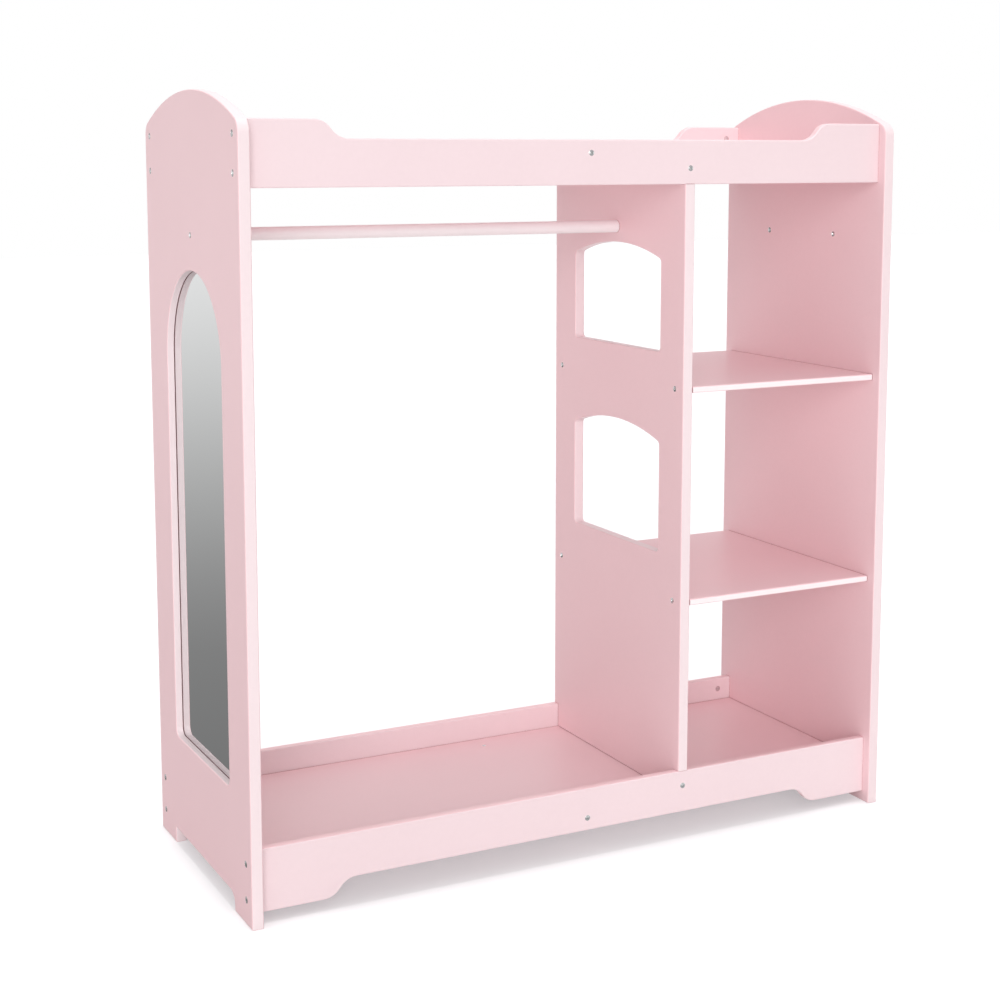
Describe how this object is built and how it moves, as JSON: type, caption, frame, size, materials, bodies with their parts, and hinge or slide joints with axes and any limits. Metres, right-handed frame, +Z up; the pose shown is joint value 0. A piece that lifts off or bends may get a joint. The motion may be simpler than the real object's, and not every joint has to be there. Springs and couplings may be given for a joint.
{
  "type": "children's dress up storage unit with mirror",
  "caption": "Low open wardrobe of painted board: hanging bay with a rod, shelf bays behind a windowed divider, arched end panels, one with a tall mirror.",
  "frame": {"origin": "on the floor, under the middle of the overall length and depth, pegs included", "axes": "+X from the mirror end to the shelf end, -Y towards the open front, +Z up"},
  "size_m": [1.0368, 0.4, 1.0659],
  "materials": {
    "painted_board": "satin paint on fibreboard",
    "mirror": "silvered",
    "backing_board": "matte white-faced hardboard",
    "dowel_wood": "raw beech",
    "zinc_plated_steel": "bright zinc"
  },
  "bodies": {
    "root": {"left_end_panel": "painted_board", "right_end_panel": "painted_board", "divider": "painted_board", "base_front_rail": "painted_board", "base_back_rail": "painted_board", "top_front_rail": "painted_board", "top_back_rail": "painted_board", "base_board": "painted_board", "top_board": "painted_board", "base_batten": "painted_board", "lower_shelf": "painted_board", "upper_shelf": "painted_board", "hanging_rod": "painted_board", "coat_pegs": "painted_board", "mirror_glass": "mirror", "mirror_backing": "backing_board", "board_dowels": "dowel_wood", "mirror_clips": "zinc_plated_steel", "mirror_clip_screws": "zinc_plated_steel", "coat_peg_screws": "zinc_plated_steel", "left_rail_bolts": "zinc_plated_steel", "right_rail_bolts": "zinc_plated_steel", "left_barrel_nuts": "zinc_plated_steel", "right_barrel_nuts": "zinc_plated_steel", "rail_board_screws": "zinc_plated_steel", "rail_divider_screws": "zinc_plated_steel", "divider_shelf_screws": "zinc_plated_steel", "panel_shelf_screws": "zinc_plated_steel", "rod_screws": "zinc_plated_steel", "batten_screws": "zinc_plated_steel"}
  },
  "joints": []
}
